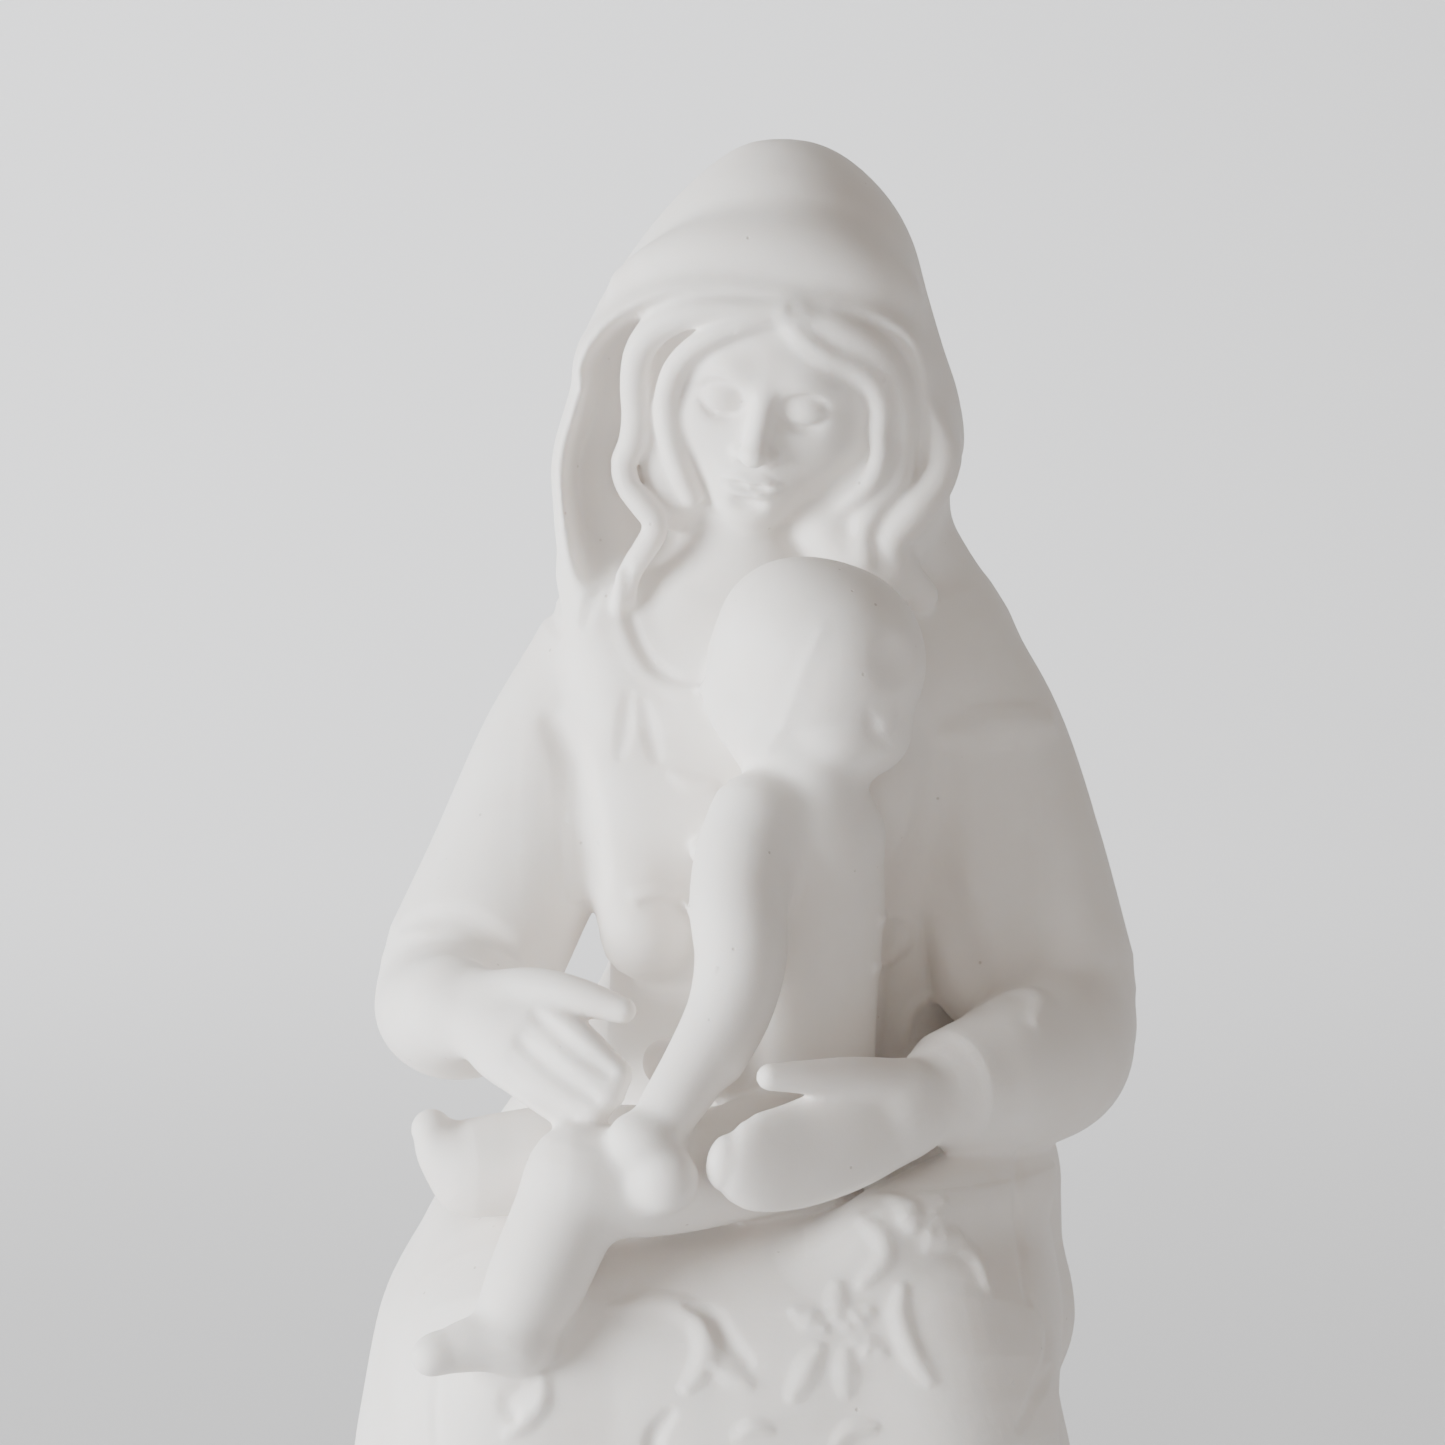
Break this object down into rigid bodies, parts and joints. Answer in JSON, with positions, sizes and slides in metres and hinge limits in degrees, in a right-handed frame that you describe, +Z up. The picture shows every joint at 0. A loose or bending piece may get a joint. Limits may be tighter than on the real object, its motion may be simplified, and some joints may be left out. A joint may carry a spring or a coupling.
{
  "type": "virgin and child statue",
  "caption": "Seated veiled mother holding a child on her lap, a table figure in white bisque porcelain cast in one with its round base.",
  "frame": {"origin": "middle of the round base's underside, on the surface that the figure stands on", "axes": "+Z up; the mother looks along -Y, so the front is at -Y; +X is to the right of someone who faces the front"},
  "size_m": [0.1358, 0.1359, 0.2801],
  "materials": {
    "bisque_porcelain": "unglazed, matte, warm white, with fine pinholes"
  },
  "bodies": {
    "root": {"mother_and_child": "bisque_porcelain"}
  },
  "joints": []
}
